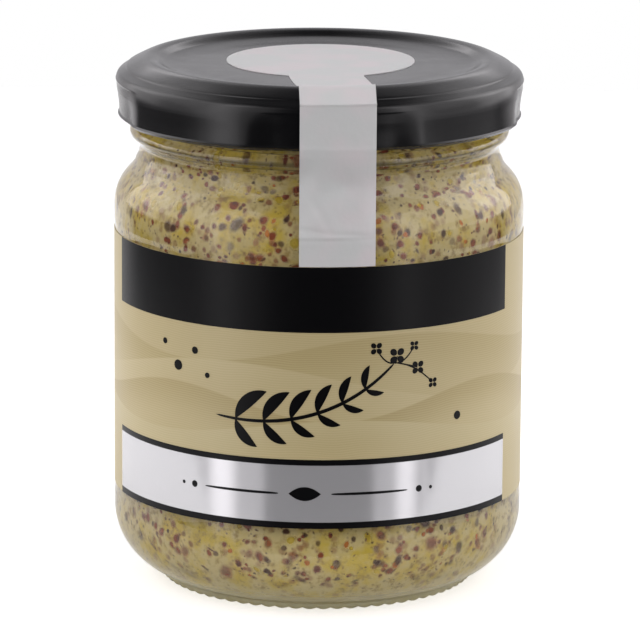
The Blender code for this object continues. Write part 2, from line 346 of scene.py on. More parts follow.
# Seeds lost in the paste's depth: their scale, a spot's radius in its cell, the share of the cells that hold
# one, how much a spot covers, and its colour.
LOST_SEEDS = (
    (520, 0.42, 0.55, 0.55, (0.28, 0.13, 0.075)),
    (1300, 0.40, 0.35, 0.45, (0.16, 0.085, 0.05)),
)


def soft_blobs(tree, place, scale, radius, share):
    """Soft round spots in a share of the cells: 1 at a cell's middle, and 0 past the radius."""
    inputs = {"Vector": place, "Scale": scale, "Randomness": 1.0}
    cells = add_node(tree, "ShaderNodeTexVoronoi", inputs).outputs
    drawn = add_node(tree, "ShaderNodeSeparateColor", {"Color": cells["Color"]}).outputs["Red"]
    kept = calculated(tree, "LESS_THAN", drawn, share)
    return calculated(tree, "MULTIPLY", kept, ramped(tree, cells["Distance"], radius, 0.3 * radius))


def paste_colour(tree):
    """The paste's colour: cream with yellow clouds and finer ochre streaks, seeds lost in its depth as faint
    soft spots, and a dark line where the bead on the neck keeps the light off it."""
    place = object_place(tree)
    clouds = ramped(tree, noise(tree, place, *CLOUDS), *CLOUD_SETS_IN)
    streaks = ramped(tree, noise(tree, place, *STREAKS), *STREAK_SETS_IN)
    colour = mixed_colour(tree, streaks, mixed_colour(tree, clouds, CREAM, YELLOW), OCHRE)
    for scale, radius, share, cover, tone in LOST_SEEDS:
        spots = soft_blobs(tree, place, scale, radius, share)
        colour = mixed_colour(tree, calculated(tree, "MULTIPLY", spots, cover), colour, tone)
    off_line = calculated(tree, "SUBTRACT", axis_of(tree, place, "Z"), BEAD_SHADE_Z)
    line = ramped(tree, calculated(tree, "ABSOLUTE", off_line), *BEAD_SHADE_REACH)
    return mixed_colour(tree, calculated(tree, "MULTIPLY", line, BEAD_SHADE_COVER), colour, BEAD_SHADE)


paste, tree, shader = new_material("mustard_paste", CREAM, 0.6, Specular_IOR_Level=0.1)
tree.links.new(paste_colour(tree), shader.inputs["Base Color"])
add_relief(tree, shader, 900, 3, 0.05 * MM)
fill_side = np.vstack([glass_inside(-INTO_WALL), [(MOUTH_R + INTO_WALL, FILL_TOP)]])
fill_outline = np.vstack([refined(fill_side, 1.0 * MM), [(0, FILL_TOP)]])
filling = new_piece("mustard_fill", round_grid(fill_outline, all_round(180)), wraps=True)
filling.data.materials.append(paste)
on_jar(filling, "wholegrain_mustard", "mustard")

# The seeds and hulls
# Whole and cracked mustard seeds, hulls and bran, pressed flat where they touch the glass. Each kind is one
# mesh: hundreds of small lenses, set along the filling's side where the label leaves it in view.
LABEL_BOTTOM, LABEL_TOP, LABEL_MARGIN = 15.67 * MM, 58.35 * MM, 2 * MM
SEAM_AZIMUTH, SEAM_HALF_WIDTH = math.pi, math.radians(4)
SEED_SINK, LOWEST_SEED = 0.015 * MM, 5.6 * MM
SEED_PROUD, PROUD_STEP = 0.05 * MM, 0.008 * MM
LENS_LATITUDES, LENS_SIDES, LENS_DEPTH = np.radians([90, 60, 34, 12, 0, -45, -90]), 10, 0.6
SLOW_WAVER, QUICK_WAVER = 0.10, 0.07
THINNEST_VEIL = 0.35
FIRST_DRAW = 40
# A patch sets in between two values of a noise, the edge's colour between two of the rim attribute, and a
# seed itself between two of the slant at which it is seen.
PATCHES, PATCH_SETS_IN = (900, 2), (0.42, 0.60)
EDGE_SETS_IN, SEEN_FLAT = (0.35, 0.85), (0.30, 0.19)
# Each kind: how many, their size in millimetres, how far sizes and then lengths spread about it, and how far
# out from its middle a seed stays solid.
SEED_KINDS = {
    "seeds_red": (2900, 0.65, 0.30, 0.12, 0.32),
    "seeds_dark": (900, 0.64, 0.32, 0.12, 0.40),
    "seeds_orange": (260, 0.64, 0.28, 0.16, 0.35),
    "hulls_grey": (260, 0.72, 0.28, 0.20, 0.35),
    "seeds_yellow": (340, 0.80, 0.30, 0.20, 0.10),
    "bran_specks": (3400, 0.19, 0.32, 0.40, 0.20),
}
# Each kind's colours at the middle, at the edge and in patches.
SEED_COLOURS = {
    "seeds_red": ((0.235, 0.060, 0.030), (0.33, 0.15, 0.075), (0.13, 0.040, 0.030)),
    "seeds_dark": ((0.070, 0.030, 0.022), (0.17, 0.09, 0.055), (0.045, 0.024, 0.018)),
    "seeds_orange": ((0.44, 0.14, 0.022), (0.46, 0.22, 0.055), (0.36, 0.10, 0.02)),
    "hulls_grey": ((0.180, 0.128, 0.090), (0.085, 0.055, 0.040), (0.105, 0.072, 0.038)),
    "seeds_yellow": ((0.52, 0.38, 0.05), (0.54, 0.42, 0.10), (0.46, 0.33, 0.04)),
    "bran_specks": ((0.17, 0.085, 0.05), (0.26, 0.15, 0.08), (0.10, 0.055, 0.04)),
}


def seed_lenses(name, amount, size, spread, stretch, proud, rng):
    """Small lenses on the filling's side, at random places and turns.

    A lens is a round grid. Its radius goes by the cosine of a latitude and its height by the sine's square,
    up to `proud` outside the filling and to a share of its size inside it. Its rim lies just under the paste.
    The rim wavers by slow sines of the turn. Its attributes are `rim`, that cosine, and a random `veil`.
    """
    side = refined(fill_side[2:], 0.5 * MM)
    steps = np.linalg.norm(np.diff(side, axis=0), axis=1)
    along = np.concatenate([[0], np.cumsum(steps * side[1:, 0])])
    picked = np.interp(rng.uniform(0, along[-1], amount), along, np.arange(len(side)))
    radius, height = (np.interp(picked, np.arange(len(side)), side[:, k]) for k in (0, 1))
    slope = np.gradient(side, axis=0)
    slope /= np.linalg.norm(slope, axis=1)[:, None]
    rise_r, rise_z = (np.interp(picked, np.arange(len(side)), slope[:, k]) for k in (0, 1))
    azimuth = rng.uniform(-np.pi, np.pi, amount)
    shown = (height < LABEL_BOTTOM + LABEL_MARGIN) | (height > LABEL_TOP - LABEL_MARGIN)
    shown |= np.abs(np.abs(azimuth) - SEAM_AZIMUTH) < SEAM_HALF_WIDTH
    shown &= height > LOWEST_SEED
    places = (radius, height, rise_r, rise_z, azimuth)
    radius, height, rise_r, rise_z, azimuth = (v[shown][:, None, None] for v in places)
    count = len(radius)
    sizes = size * np.exp(spread * rng.standard_normal(count))
    long_side = sizes * np.exp(stretch * np.abs(rng.standard_normal(count)))
    turn = rng.uniform(0, np.pi, count)[:, None, None]
    slow, quick = rng.uniform(0, 2 * np.pi, (2, count))[..., None]
    around = all_round(LENS_SIDES)
    waver = 1 + SLOW_WAVER * np.sin(2 * around + slow) + QUICK_WAVER * np.sin(3 * around + quick)
    cosine, sine = np.cos(LENS_LATITUDES)[None, :, None], np.sin(LENS_LATITUDES)
    thick = np.where(LENS_LATITUDES > 0, proud, LENS_DEPTH * sizes[:, None])
    a = cosine * (long_side[:, None] * waver * np.cos(around))[:, None, :]
    b = cosine * (sizes[:, None] * waver * np.sin(around))[:, None, :]
    u = a * np.cos(turn) - b * np.sin(turn)
    v = a * np.sin(turn) + b * np.cos(turn)
    w = (thick * sine * np.abs(sine) - SEED_SINK)[:, :, None] * np.ones(len(around))
    outward = radius + v * rise_r + w * rise_z
    across = outward * np.sin(azimuth) + u * np.cos(azimuth)
    back = -outward * np.cos(azimuth) + u * np.sin(azimuth)
    points = np.stack([across, back, height + v * rise_z - w * rise_r], axis=-1)
    veil = THINNEST_VEIL + (1 - THINNEST_VEIL) * rng.uniform(0, 1, (count, 1, 1)) ** 0.5
    return new_piece(name, points, wraps=True, values={"rim": cosine, "veil": veil})


def seed_material(name, solid, middle, edge, other):
    """A seed's colour: from its middle to its edge by the rim attribute, with another tone in patches.

    It is solid that far out and fades towards its rim, and the paste veils some seeds more than others, by
    the veil attribute. Seeds also fade where they are seen aslant: there the glass shows plain paste.
    """
    material, tree, shader = new_material(name, middle, 0.6, Specular_IOR_Level=0.1)
    rim = add_node(tree, "ShaderNodeAttribute", attribute_name="rim").outputs["Fac"]
    veil = add_node(tree, "ShaderNodeAttribute", attribute_name="veil").outputs["Fac"]
    patches = ramped(tree, noise(tree, object_place(tree), *PATCHES), *PATCH_SETS_IN)
    colour = mixed_colour(tree, patches, middle, other)
    colour = mixed_colour(tree, ramped(tree, rim, *EDGE_SETS_IN), colour, edge)
    tree.links.new(colour, shader.inputs["Base Color"])
    turned = add_node(tree, "ShaderNodeLayerWeight", {"Blend": 0.5}).outputs["Facing"]
    shown = calculated(tree, "MULTIPLY", ramped(tree, rim, 1.0, solid), veil)
    shown = calculated(tree, "MULTIPLY", shown, ramped(tree, turned, *SEEN_FLAT))
    tree.links.new(shown, shader.inputs["Alpha"])
    return material


for order, (name, (amount, size, spread, stretch, solid)) in enumerate(SEED_KINDS.items()):
    rng = np.random.default_rng(FIRST_DRAW + order)
    seeds = seed_lenses(name, amount, size * MM, spread, stretch, SEED_PROUD + PROUD_STEP * order, rng)
    seeds.data.materials.append(seed_material(name, solid, *SEED_COLOURS[name]))
    on_jar(seeds, "wholegrain_mustard")

# The lid
# Tinplate, drawn and lacquered satin black: a sunk middle, a raised ring, a rounded shoulder and a skirt
# with four dents that press its lugs inwards and a foot that is rolled in. It is a turned sheet, thickened.
LID_R, LID_TOP, LID_BOTTOM = 33.55 * MM, 86.4 * MM, 76.7 * MM
LID_PANEL_Z, LID_PANEL_R, RING_R = 85.1 * MM, 22.5 * MM, 27.9 * MM
# The slope outside the ring's crest: millimetres past it, and its height from the lid's top.
RING_SLOPE = ((1.0, -0.16), (2.0, -0.58), (3.5, -1.36), (3.8, -1.68), (4.2, -1.96))
CORNER_ROUND, EDGE_ROUND, EDGE_TURN, SKIRT_TOP = 1.2 * MM, 8.0 * MM, math.radians(18), 81.0 * MM
CURL_ROUND, WAIST_DEPTH, TINPLATE = 0.65 * MM, 0.06 * MM, 0.25 * MM
DENTS, DENT_TURN = 4, math.radians(4)
DENT_HALF_ANGLE, DENT_EDGE_ANGLE = math.radians(26), math.radians(10)
DENT_DEPTH, DENT_TOP = 0.9 * MM, LID_TOP - 3.5 * MM
SHARP = math.radians(50)
BLACK = (0.003, 0.003, 0.0035)


def smooth_through(points, steps):
    """A smooth curve through the points: on each stretch a cubic whose slope at a point is half the way
    between its neighbours."""
    points = np.asarray(points, float)
    padded = np.vstack([2 * points[0] - points[1], points, 2 * points[-1] - points[-2]])
    t = np.linspace(0, 1, steps, endpoint=False)[:, None]
    before, start, end, after = (padded[k : len(points) - 1 + k, None] for k in range(4))
    slope_in, slope_out = 0.5 * (end - before), 0.5 * (after - start)
    curve = (
        (2 * t**3 - 3 * t**2 + 1) * start
        + (t**3 - 2 * t**2 + t) * slope_in
        + (3 * t**2 - 2 * t**3) * end
        + (t**3 - t**2) * slope_out
    )
    return np.vstack([curve.reshape(-1, 2), points[-1:]])


def lid_outline():
    """The lid's outer outline, from the middle of its top to the roll at the skirt's foot.

    Two arcs that touch make the edge: a tight one over the corner and a wide one that runs down the skirt.
    """
    crest = [
        (LID_PANEL_R - 3 * MM, LID_PANEL_Z),
        (LID_PANEL_R, LID_PANEL_Z),
        (LID_PANEL_R + 2.6 * MM, LID_PANEL_Z + 0.3 * MM),
        (RING_R - 1.2 * MM, LID_TOP - 0.25 * MM),
        (RING_R, LID_TOP),
    ]
    slope = np.array([RING_R, LID_TOP]) + np.array(RING_SLOPE) * MM
    top = smooth_through([*crest, *slope], 6)
    edge_centre = np.array([LID_R - EDGE_ROUND, SKIRT_TOP])
    edge_way = np.array([math.cos(EDGE_TURN), math.sin(EDGE_TURN)])
    corner = edge_centre + (EDGE_ROUND - CORNER_ROUND) * edge_way
    edge = arc(corner, CORNER_ROUND, 60, math.degrees(EDGE_TURN), 10)
    skirt = arc(edge_centre, EDGE_ROUND, math.degrees(EDGE_TURN), 0, 6)[1:]
    curl = arc((LID_R - CURL_ROUND, LID_BOTTOM + CURL_ROUND), CURL_ROUND, 10, -215, 16)
    waist = (LID_R - WAIST_DEPTH, 0.45 * SKIRT_TOP + 0.55 * (LID_BOTTOM + 2 * CURL_ROUND))
    return np.vstack([[(0, LID_PANEL_Z)], top, edge, smooth_through([*skirt, waist, *curl], 3)])


def dented(points):
    """Presses the skirt in at its four dents, to a depth that grows down the skirt as a square root."""
    azimuth = np.arctan2(points[..., 0], -points[..., 1]) - DENT_TURN
    pitch = 2 * np.pi / DENTS
    off_middle = np.abs((azimuth + pitch / 2) % pitch - pitch / 2)
    across = np.clip((DENT_HALF_ANGLE - off_middle) / DENT_EDGE_ANGLE, 0, 1)
    across = across**2 * (3 - 2 * across)
    down = np.clip((DENT_TOP - points[..., 2]) / (DENT_TOP - LID_BOTTOM), 0, 1)
    radius = np.maximum(np.hypot(points[..., 0], points[..., 1]), MM)
    points[..., :2] *= (1 - DENT_DEPTH * across * np.sqrt(down) / radius)[..., None]
    return points


def thickened(piece, thickness, offset):
    """Gives an open sheet its thickness. Offset -1 lays it behind the sheet's face, and 1 before it."""
    sheet = piece.modifiers.new("Thickness", "SOLIDIFY")
    sheet.thickness = thickness
    sheet.offset = offset
    rim = piece.modifiers.new("Sharp rim", "EDGE_SPLIT")
    rim.split_angle = SHARP


lacquer, tree, shader = new_material("black_lacquer", BLACK, 0.22, IOR=1.46)
add_relief(tree, shader, 300, 2, 0.003 * MM, (0.20, 0.28))
lid_points = dented(round_grid(refined(lid_outline(), 1.0 * MM), all_round(320)))
lid = new_piece("lid_tinplate", lid_points, wraps=True)
thickened(lid, TINPLATE, -1)
lid.data.materials.append(lacquer)
on_jar(lid, "black_lacquer", "lid")

# The label
# One band of coated paper round the body, cream with wavy hills and a fine hatch. Its front panel carries a
# broad black band and a silver foil band between two black lines. The print is thin sheets on the paper.
LABEL_R, PAPER = 33.60 * MM, 0.08 * MM
SEAM_ANGLE = math.radians(3)
PANEL_LEFT, PANEL_RIGHT = math.radians(-72.0), math.radians(63.9)
BLACK_BOTTOM = 47.77 * MM
LINES = ((15.67 * MM, 16.72 * MM), (26.08 * MM, 27.02 * MM))
FOIL_BOTTOM, FOIL_TOP = 16.72 * MM, 26.08 * MM
INK = 0.012 * MM
BAND_ANGLE, BAND_HEIGHT = math.radians(1.5), 2 * MM
LABEL_CREAM = (0.455, 0.375, 0.19)
# Each hill: the height of its line, its wave's height, how fast it waves along the label and where it starts,
# how far down its tone fades, and that tone.
HILLS = (
    (44.5, 2.6, 0.085, 0.4, 9.0, (0.40, 0.32, 0.145)),
    (39.0, 3.4, 0.070, 2.6, 11.0, (0.485, 0.405, 0.215)),
    (35.5, 2.4, 0.115, 4.4, 7.0, (0.385, 0.305, 0.135)),
    (31.5, 1.9, 0.090, 1.2, 7.0, (0.485, 0.41, 0.22)),
)
HATCH = {"Scale": 0.85, "Distortion": 14.0, "Detail": 1.0, "Detail Scale": 0.12, "Detail Roughness": 0.3}
HATCH_SHARE, HATCH_TONE = 0.16, (0.74, 0.66, 0.44)
HILL_EDGE = 0.15


def band(name, bottom, top, left, right, radius):
    """A sheet bent round the axis between two azimuths and two heights. Its flat place is in millimetres."""
    azimuths = np.linspace(left, right, max(int(abs(right - left) / BAND_ANGLE), 2) + 1)
    heights = np.linspace(top, bottom, max(int((top - bottom) / BAND_HEIGHT), 1) + 1)
    points = round_grid(np.column_stack([np.full_like(heights, radius), heights]), azimuths)
    along = np.broadcast_to(azimuths * radius / MM, points.shape[:2])
    paper = np.stack([along, points[..., 2] / MM, np.zeros_like(along)], axis=-1)
    return new_piece(name, points, paper=paper)


def hill(tree, flat, base, rise, bow, lean, fade):
    """1 just under a wavy line, base + rise sin(bow x + lean), fading to 0 that many millimetres below it."""
    phase = calculated(tree, "MULTIPLY_ADD", axis_of(tree, flat, "X"), bow, lean)
    line = calculated(tree, "MULTIPLY_ADD", calculated(tree, "SINE", phase), rise, base)
    below = calculated(tree, "SUBTRACT", line, axis_of(tree, flat, "Y"))
    inside = ramped(tree, below, -HILL_EDGE, HILL_EDGE)
    return calculated(tree, "MULTIPLY", inside, ramped(tree, below, fade, 0.0))


cream_paper, tree, shader = new_material("cream_label", LABEL_CREAM, 0.42)
flat = add_node(tree, "ShaderNodeAttribute", attribute_name="paper").outputs["Vector"]
tone = LABEL_CREAM
for base, rise, bow, lean, fade, colour in HILLS:
    tone = mixed_colour(tree, hill(tree, flat, base, rise, bow, lean, fade), tone, colour)
hatch = add_node(tree, "ShaderNodeTexWave", {"Vector": flat, **HATCH}, bands_direction="Y").outputs["Fac"]
tone = mixed_colour(tree, calculated(tree, "MULTIPLY", hatch, HATCH_SHARE), tone, HATCH_TONE)
tree.links.new(tone, shader.inputs["Base Color"])
add_relief(tree, shader, 1400, 3, 0.006 * MM)

black_ink, tree, shader = new_material("black_ink", BLACK, 0.30, Specular_IOR_Level=0.15)
add_relief(tree, shader, 1400, 3, 0.003 * MM, (0.25, 0.38))

foil, tree, shader = new_material("silver_foil", (0.60, 0.60, 0.615), 0.15, Metallic=0.55)
add_relief(tree, shader, 700, 3, 0.004 * MM, (0.12, 0.19))

half_wrap = math.pi - SEAM_ANGLE / 2
label = band("label_paper", LABEL_BOTTOM, LABEL_TOP, -half_wrap, half_wrap, LABEL_R)
thickened(label, PAPER, -1)
label.data.materials.append(cream_paper)
on_jar(label, "label_paper", "label")
printed = [("print_black_band", BLACK_BOTTOM, LABEL_TOP, black_ink)]
printed += [(f"print_line_{k}", low, high, black_ink) for k, (low, high) in enumerate(LINES)]
printed += [("print_foil_band", FOIL_BOTTOM, FOIL_TOP, foil)]
for name, low, high, material in printed:
    piece = band(name, low, high, PANEL_LEFT, PANEL_RIGHT, LABEL_R + 0.5 * INK)
    thickened(piece, INK, 1)
    piece.data.materials.append(material)
    on_jar(piece, "label_paper")

# The ornament
# A mustard sprig with dots on the cream field, and a ruled almond with dots on the foil. Both are brush
# strokes in black ink, drawn flat in millimetres round the jar and up it, then bent on to the label.
SPRIG_START, SPRIG_BEND, SPRIG_END = np.array([(-17.0, 33.5), (1.0, 31.0), (12.5, 42.5)])
LEAF_PLACES = np.array([0.10, 0.24, 0.38, 0.52, 0.66, 0.80])
LEAF_ANGLE, LEAF_LENGTH, LEAF_BOW = math.radians(46), 7.6, 0.45
FLOWERS = ((12.9, 43.6, 1.5), (16.6, 41.4, 1.25), (9.4, 45.0, 1.15), (15.9, 45.0, 0.9), (19.4, 38.6, 0.95))
SEED_DOTS = (
    (-24.5, 40.5, 0.85),
    (-21.0, 43.4, 0.6),
    (-27.5, 44.0, 0.5),
    (-18.6, 39.6, 0.45),
    (24.5, 32.5, 0.7),
)
FOIL_X, FOIL_Z = -2.0, 21.4
ALMOND_HALF, ALMOND_WIDTH = 2.6, 1.15
RULE_START, RULE_BEND, RULE_END, RULE_WIDTH = 4.2, 9, 17, 0.22
RULE_DOTS = ((19, 0.55), (21.2, 0.3))


def along_stroke(start, bend, end, t):
    """The point of a brush stroke: (1-t)^2 start + 2t(1-t) bend + t^2 end."""
    return (1 - t) ** 2 * start + 2 * t * (1 - t) * bend + t**2 * end


def inked(name, strokes, material):
    """Brush strokes on the label, each a strip whose half width is w (4t(1-t))^p along it.

    A row holds the stroke's start, bend and end, its w, and its p: 1 gives a leaf's points, 0.5 a round dot.
    """
    rows = np.asarray(strokes, float)
    t = np.linspace(0, 1, 49)[None, :, None]
    start, bend, end = (rows[:, None, k : k + 2] for k in (0, 2, 4))
    middle = along_stroke(start, bend, end, t)
    ahead = 2 * (1 - t) * (bend - start) + 2 * t * (end - bend)
    ahead /= np.linalg.norm(ahead, axis=-1, keepdims=True)
    aside = np.stack([-ahead[..., 1], ahead[..., 0]], axis=-1)
    half = rows[:, 6, None] * (4 * t[..., 0] * (1 - t[..., 0])) ** rows[:, 7, None]
    across = np.linspace(-1, 1, 5)
    flat = middle[:, :, None] + aside[:, :, None] * (half[..., None] * across)[..., None]
    azimuth, radius = flat[..., 0] * MM / LABEL_R, LABEL_R + 2.2 * INK
    bent = np.stack([radius * np.sin(azimuth), -radius * np.cos(azimuth), flat[..., 1] * MM], axis=-1)
    piece = new_piece(name, bent)
    piece.data.materials.append(material)
    on_jar(piece, "label_paper")


def dot(x, z, size):
    """A round dot as a stroke."""
    return (x - size, z, x, z, x + size, z, size, 0.5)


def petals(x, z, size):
    """Four petals round a flower's middle, each a short fat stroke."""
    strokes = []
    for turn in np.radians(45 + 90 * np.arange(4)):
        out = size * np.array([math.cos(turn), math.sin(turn)])
        start, bend, end = (np.array([x, z]) + reach * out for reach in (0.15, 0.6, 1.0))
        strokes.append((*start, *bend, *end, 0.36 * size, 0.6))
    return strokes


stem = [(*SPRIG_START, *SPRIG_BEND, *SPRIG_END, 0.30, 0.25)]
for place in LEAF_PLACES:
    base = along_stroke(SPRIG_START, SPRIG_BEND, SPRIG_END, place)
    ahead = (1 - place) * (SPRIG_BEND - SPRIG_START) + place * (SPRIG_END - SPRIG_BEND)
    for side in (-1, 1):
        heading = math.atan2(ahead[1], ahead[0]) + side * LEAF_ANGLE
        length = LEAF_LENGTH * (1 - 0.6 * place) * (0.8 if side < 0 else 1.0)
        tip = base + length * np.array([math.cos(heading), math.sin(heading)])
        bowed = heading + LEAF_BOW * side
        bend = base + 0.55 * length * np.array([math.cos(bowed), math.sin(bowed)])
        stem.append((*base, *bend, *tip, 0.15 * length, 0.9))
for x_mm, z_mm, size in FLOWERS:
    stem += petals(x_mm, z_mm, size)
    stem.append((*SPRIG_END, 0.5 * (SPRIG_END[0] + x_mm), SPRIG_END[1] - 0.4, x_mm, z_mm, 0.12, 0.25))
stem += [dot(*each) for each in SEED_DOTS]
inked("print_sprig", stem, black_ink)

almond_ends = (FOIL_X - ALMOND_HALF, FOIL_Z, FOIL_X, FOIL_Z, FOIL_X + ALMOND_HALF, FOIL_Z)
rule = [(*almond_ends, ALMOND_WIDTH, 1.0)]
for side in (-1, 1):
    start, bend, end = (FOIL_X + reach * side for reach in (RULE_START, RULE_BEND, RULE_END))
    rule.append((start, FOIL_Z, bend, FOIL_Z, end, FOIL_Z, RULE_WIDTH, 0.3))
    rule += [dot(FOIL_X + reach * side, FOIL_Z, size) for reach, size in RULE_DOTS]
inked("print_rule", rule, black_ink)

# The tamper seal
# Thin silvery white paper: a round head stuck to the lid, and a tail that crosses the ring, hangs over the
# rim and bridges the neck down to the label. It is a grid along the tail's path, creased by a sum of folds.
SEAL_LIFT, SEAL_PAPER = 0.10 * MM, 0.10 * MM
SEAL_R, SEAL_X, SEAL_Y = 15.4 * MM, 0.1 * MM, 3.4 * MM
STRIP_WIDTH = 12.1 * MM
STRIP_REACHES = (0, 15.4 * MM, 22.5 * MM, 27.9 * MM, 33.6 * MM)
STRIP_MIDDLES = (SEAL_X, 1.4 * MM, 2.65 * MM, 2.75 * MM, 2.95 * MM)
RING_BEND, EDGE_BEND = 4 * MM, 0.5 * MM
HANG_HEIGHTS = (79, 76, 72, 68, 65, 63, 61, 58.45)
SEAL_WHITE = (0.64, 0.625, 0.63)
CAST_NOISE, CAST_SETS_IN, CASTS = (95, 2), (0.40, 0.62), ((0.615, 0.628, 0.622), (0.665, 0.628, 0.636))
# The tail sags by this much in millimetres, from this height and over this stretch, and unevenly across.
SAG, SAG_FROM, SAG_OVER, SAG_UNEVEN = -0.60, 62, 15, 0.30
# Its swellings and hollows in millimetres: how far out, where across it and at what height, and how wide and
# how tall.
SWELLINGS = (
    (-0.80, 6.6, 69.5, 1.7, 3.6),
    (-0.58, 1.2, 71.5, 3.0, 2.4),
    (0.42, -2.8, 66.0, 2.2, 2.4),
    (-0.48, -5.4, 72.5, 1.6, 2.2),
)
# It folds where it comes back to the glass, sharply below this height and roundly above it, and deeper in the
# middle. Each crease has a height, a lean and a width, and each spot a place, a width and a height.
FOLD_Z, FOLD_ABOVE, FOLD_BELOW = 63.1 * MM, 2.4, 0.24
FOLD_DEPTH, FOLD_DEEPER, FOLD_LEAN, FOLD_SPOT = 0.13, 0.12, 0.01, (-0.4, FOLD_Z / MM, 2.4, 3.0)
LOW_CREASE, LOW_DEPTH = (64.0 * MM, -0.10, 0.5 * MM), 0.10 * MM
EDGE_CREASE, EDGE_HEIGHT = (77.3 * MM, -0.02, 0.35 * MM), 0.07 * MM
SLANT_CREASE, SLANT_SPOT, SLANT_DEPTH = (62.5, -1.56, 1.5), (-2.8, 67.0, 2.4, 3.2), 0.22 * MM
RIM_SPOT, RIM_HEIGHT = (-1.6 * MM, 84.0 * MM, 1.1 * MM, 0.5 * MM), 0.10 * MM


def seal_edges(reach):
    """The left and right edges that far in front of the axis: the outer of the head's and the strip's."""
    half_head = np.sqrt(np.maximum(SEAL_R**2 - (reach + SEAL_Y) ** 2, 0))
    half_strip = np.where(reach > 0, STRIP_WIDTH / 2, 0)
    middle = np.interp(reach, STRIP_REACHES, STRIP_MIDDLES)
    left = np.minimum(SEAL_X - half_head, middle - half_strip)
    return left, np.maximum(SEAL_X + half_head, middle + half_strip)


def strip_path():
    """Reach and height of the strip's underside: sunk middle, ring, rim, and down to the label."""
    skirt_r = LID_R + SEAL_LIFT
    over_ring = arc((RING_R, LID_TOP + SEAL_LIFT - RING_BEND), RING_BEND, 105, 62, 4)
    over_edge = arc((skirt_r - EDGE_BEND, LID_TOP - 2.25 * MM), EDGE_BEND, 55, 0, 4)
    hanging = [(skirt_r + 0.05 * MM, z * MM) for z in HANG_HEIGHTS]
    flat = [(17 * MM, LID_PANEL_Z + SEAL_LIFT), (20.5 * MM, LID_PANEL_Z + SEAL_LIFT)]
    return smooth_through([*flat, (24.2 * MM, LID_PANEL_Z + 0.6 * MM), *over_ring, *over_edge, *hanging], 8)


def crease(x, z, at, lean, width):
    """A valley across the strip: a bell curve of the height above a line that leans with x."""
    return np.exp(-(((z - at - lean * x) / width) ** 2))


def swell(x, z, at_x, at_z, wide, tall):
    """A round swelling: a bell curve in x times one in z."""
    return np.exp(-(((x - at_x) / wide) ** 2) - ((z - at_z) / tall) ** 2)


def draped(x, z):
    """How far the tail stands out from its path: it sags between the lid and the label, and is creased."""
    aside, up = (x - STRIP_MIDDLES[-1]) / MM, z / MM
    below_lid = np.clip((LID_BOTTOM + 0.5 * MM - z) / (2 * MM), 0, 1)
    free = below_lid * np.clip((z - 61 * MM) / (2.5 * MM), 0, 1)
    sag = SAG * np.sin(np.clip((up - SAG_FROM) / SAG_OVER, 0, 1) * math.pi)
    sag = sag * (1 - SAG_UNEVEN * np.sin(0.30 * aside + 0.2))
    for height, *place in SWELLINGS:
        sag = sag + height * swell(aside, up, *place)
    fold_width = np.where(z > FOLD_Z, FOLD_ABOVE, FOLD_BELOW) * MM
    fold_depth = FOLD_DEPTH + FOLD_DEEPER * swell(aside, up, *FOLD_SPOT)
    slant = crease(aside, up, *SLANT_CREASE) * swell(aside, up, *SLANT_SPOT)
    return (
        sag * free * MM
        + fold_depth * MM * crease(x, z, FOLD_Z, FOLD_LEAN, fold_width)
        - LOW_DEPTH * crease(x, z, *LOW_CREASE) * free
        + EDGE_HEIGHT * crease(x, z, *EDGE_CREASE)
        - SLANT_DEPTH * slant * free
        + RIM_HEIGHT * swell(x, z, *RIM_SPOT)
    )


head_y = SEAL_Y + SEAL_R * np.cos(np.linspace(0.02, math.pi, 40))
path = strip_path()
reach = np.concatenate([-head_y, path[:, 0]])
height = np.concatenate([np.full(len(head_y), LID_PANEL_Z + SEAL_LIFT), path[:, 1]])
left, right = seal_edges(reach)
x = left[:, None] + (right - left)[:, None] * np.linspace(0, 1, 41)
z = height[:, None] * np.ones_like(x)
on_head = (np.arange(len(reach)) < len(head_y))[:, None]
around = reach[:, None] + draped(x, z) * ~on_head
y = np.where(on_head, -reach[:, None], -np.sqrt(np.maximum(around**2 - x**2, 0)))
seal = new_piece("seal_paper", np.stack([x, y, z], axis=-1))
thickened(seal, SEAL_PAPER, -1)
silvery = {"Metallic": 0.05, "Specular_IOR_Level": 0.12}
white, tree, shader = new_material("silver_white_paper", SEAL_WHITE, 0.42, **silvery)
add_relief(tree, shader, 230, 3, 0.14 * MM)
cast = ramped(tree, noise(tree, object_place(tree), *CAST_NOISE), *CAST_SETS_IN)
tree.links.new(mixed_colour(tree, cast, *CASTS), shader.inputs["Base Color"])
seal.data.materials.append(white)
on_jar(seal, "seal_paper", "seal")

# The studio
# A pale table that ends just in front of the jar, soft boxes on both sides, above and in front, and a room
# that is bright behind with a glow beside the jar, and dark elsewhere. The camera sees table and room plain
# and pale. Only in the jar's own reflections and light is the table darker where the jar stands.
TABLE_HALF, TABLE_FRONT, TABLE_BACK = 0.20, -0.06, 0.45
TABLE_SHADE_R, TABLE_LIGHT_R = 0.038, 0.11
TABLE_PALE, TABLE_SHADED = (0.85, 0.85, 0.85), (0.58, 0.58, 0.57)
TABLE_GLOW, SHADED_GLOW = 0.5, 0.30
corners = [[(x, y, 0) for x in (-TABLE_HALF, TABLE_HALF)] for y in (TABLE_BACK, TABLE_FRONT)]
table = new_piece("table", np.array(corners))
pale, tree, shader = new_material("pale_table", TABLE_PALE, 0.7, Emission_Color=(1, 1, 1, 1))
add_relief(tree, shader, 300, 2, 0.02 * MM)
from_axis = add_node(tree, "ShaderNodeVectorMath", {0: object_place(tree)}, operation="LENGTH")
far = ramped(tree, from_axis.outputs["Value"], TABLE_SHADE_R, TABLE_LIGHT_R)
seen = add_node(tree, "ShaderNodeLightPath").outputs["Is Camera Ray"]
lit = calculated(tree, "MAXIMUM", far, seen)
tree.links.new(mixed_colour(tree, lit, TABLE_SHADED, TABLE_PALE), shader.inputs["Base Color"])
